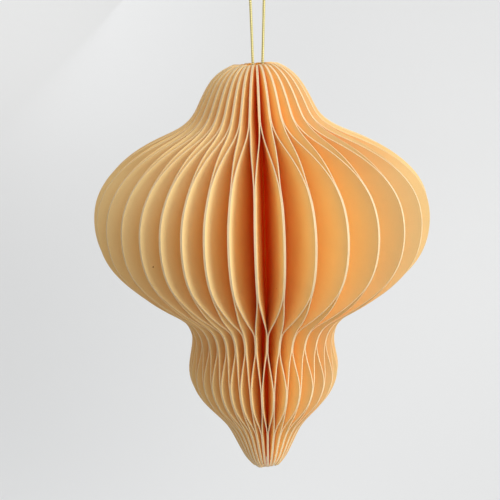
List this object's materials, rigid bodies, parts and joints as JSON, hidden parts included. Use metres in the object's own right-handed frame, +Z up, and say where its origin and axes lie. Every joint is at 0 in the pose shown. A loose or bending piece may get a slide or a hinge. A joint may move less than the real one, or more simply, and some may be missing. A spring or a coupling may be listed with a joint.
{
  "type": "folded paper hanging ornament",
  "caption": "Hanging ornament of peach paper leaves folded at a core and glued to each other in turn, with a bell top, wide belly, small bulb and a thin gold cord loop.",
  "frame": {"origin": "inside of the cord loop's top, where the ornament hangs", "axes": "+Z up along the ornament's axis, -Y towards the front, +X to the right"},
  "size_m": [0.1214, 0.1216, 0.196],
  "materials": {
    "peach_paper": "smooth matt coloured paper, dyed through",
    "gold_cord": "fine metallic yarn, twisted",
    "card": "plain card"
  },
  "bodies": {
    "root": {"sheet_01": "peach_paper", "sheet_02": "peach_paper", "sheet_03": "peach_paper", "sheet_04": "peach_paper", "sheet_05": "peach_paper", "sheet_06": "peach_paper", "sheet_07": "peach_paper", "sheet_08": "peach_paper", "sheet_09": "peach_paper", "sheet_10": "peach_paper", "sheet_11": "peach_paper", "sheet_12": "peach_paper", "sheet_13": "peach_paper", "sheet_14": "peach_paper", "sheet_15": "peach_paper", "sheet_16": "peach_paper", "sheet_17": "peach_paper", "sheet_18": "peach_paper", "sheet_19": "peach_paper", "sheet_20": "peach_paper", "sheet_21": "peach_paper", "sheet_22": "peach_paper", "sheet_23": "peach_paper", "sheet_24": "peach_paper", "sheet_25": "peach_paper", "sheet_26": "peach_paper", "sheet_27": "peach_paper", "sheet_28": "peach_paper", "sheet_29": "peach_paper", "sheet_30": "peach_paper", "sheet_31": "peach_paper", "sheet_32": "peach_paper", "sheet_33": "peach_paper", "sheet_34": "peach_paper", "sheet_35": "peach_paper", "sheet_36": "peach_paper", "cord_loop": "gold_cord", "cord_knot": "gold_cord", "anchor_disc": "card"}
  },
  "joints": []
}
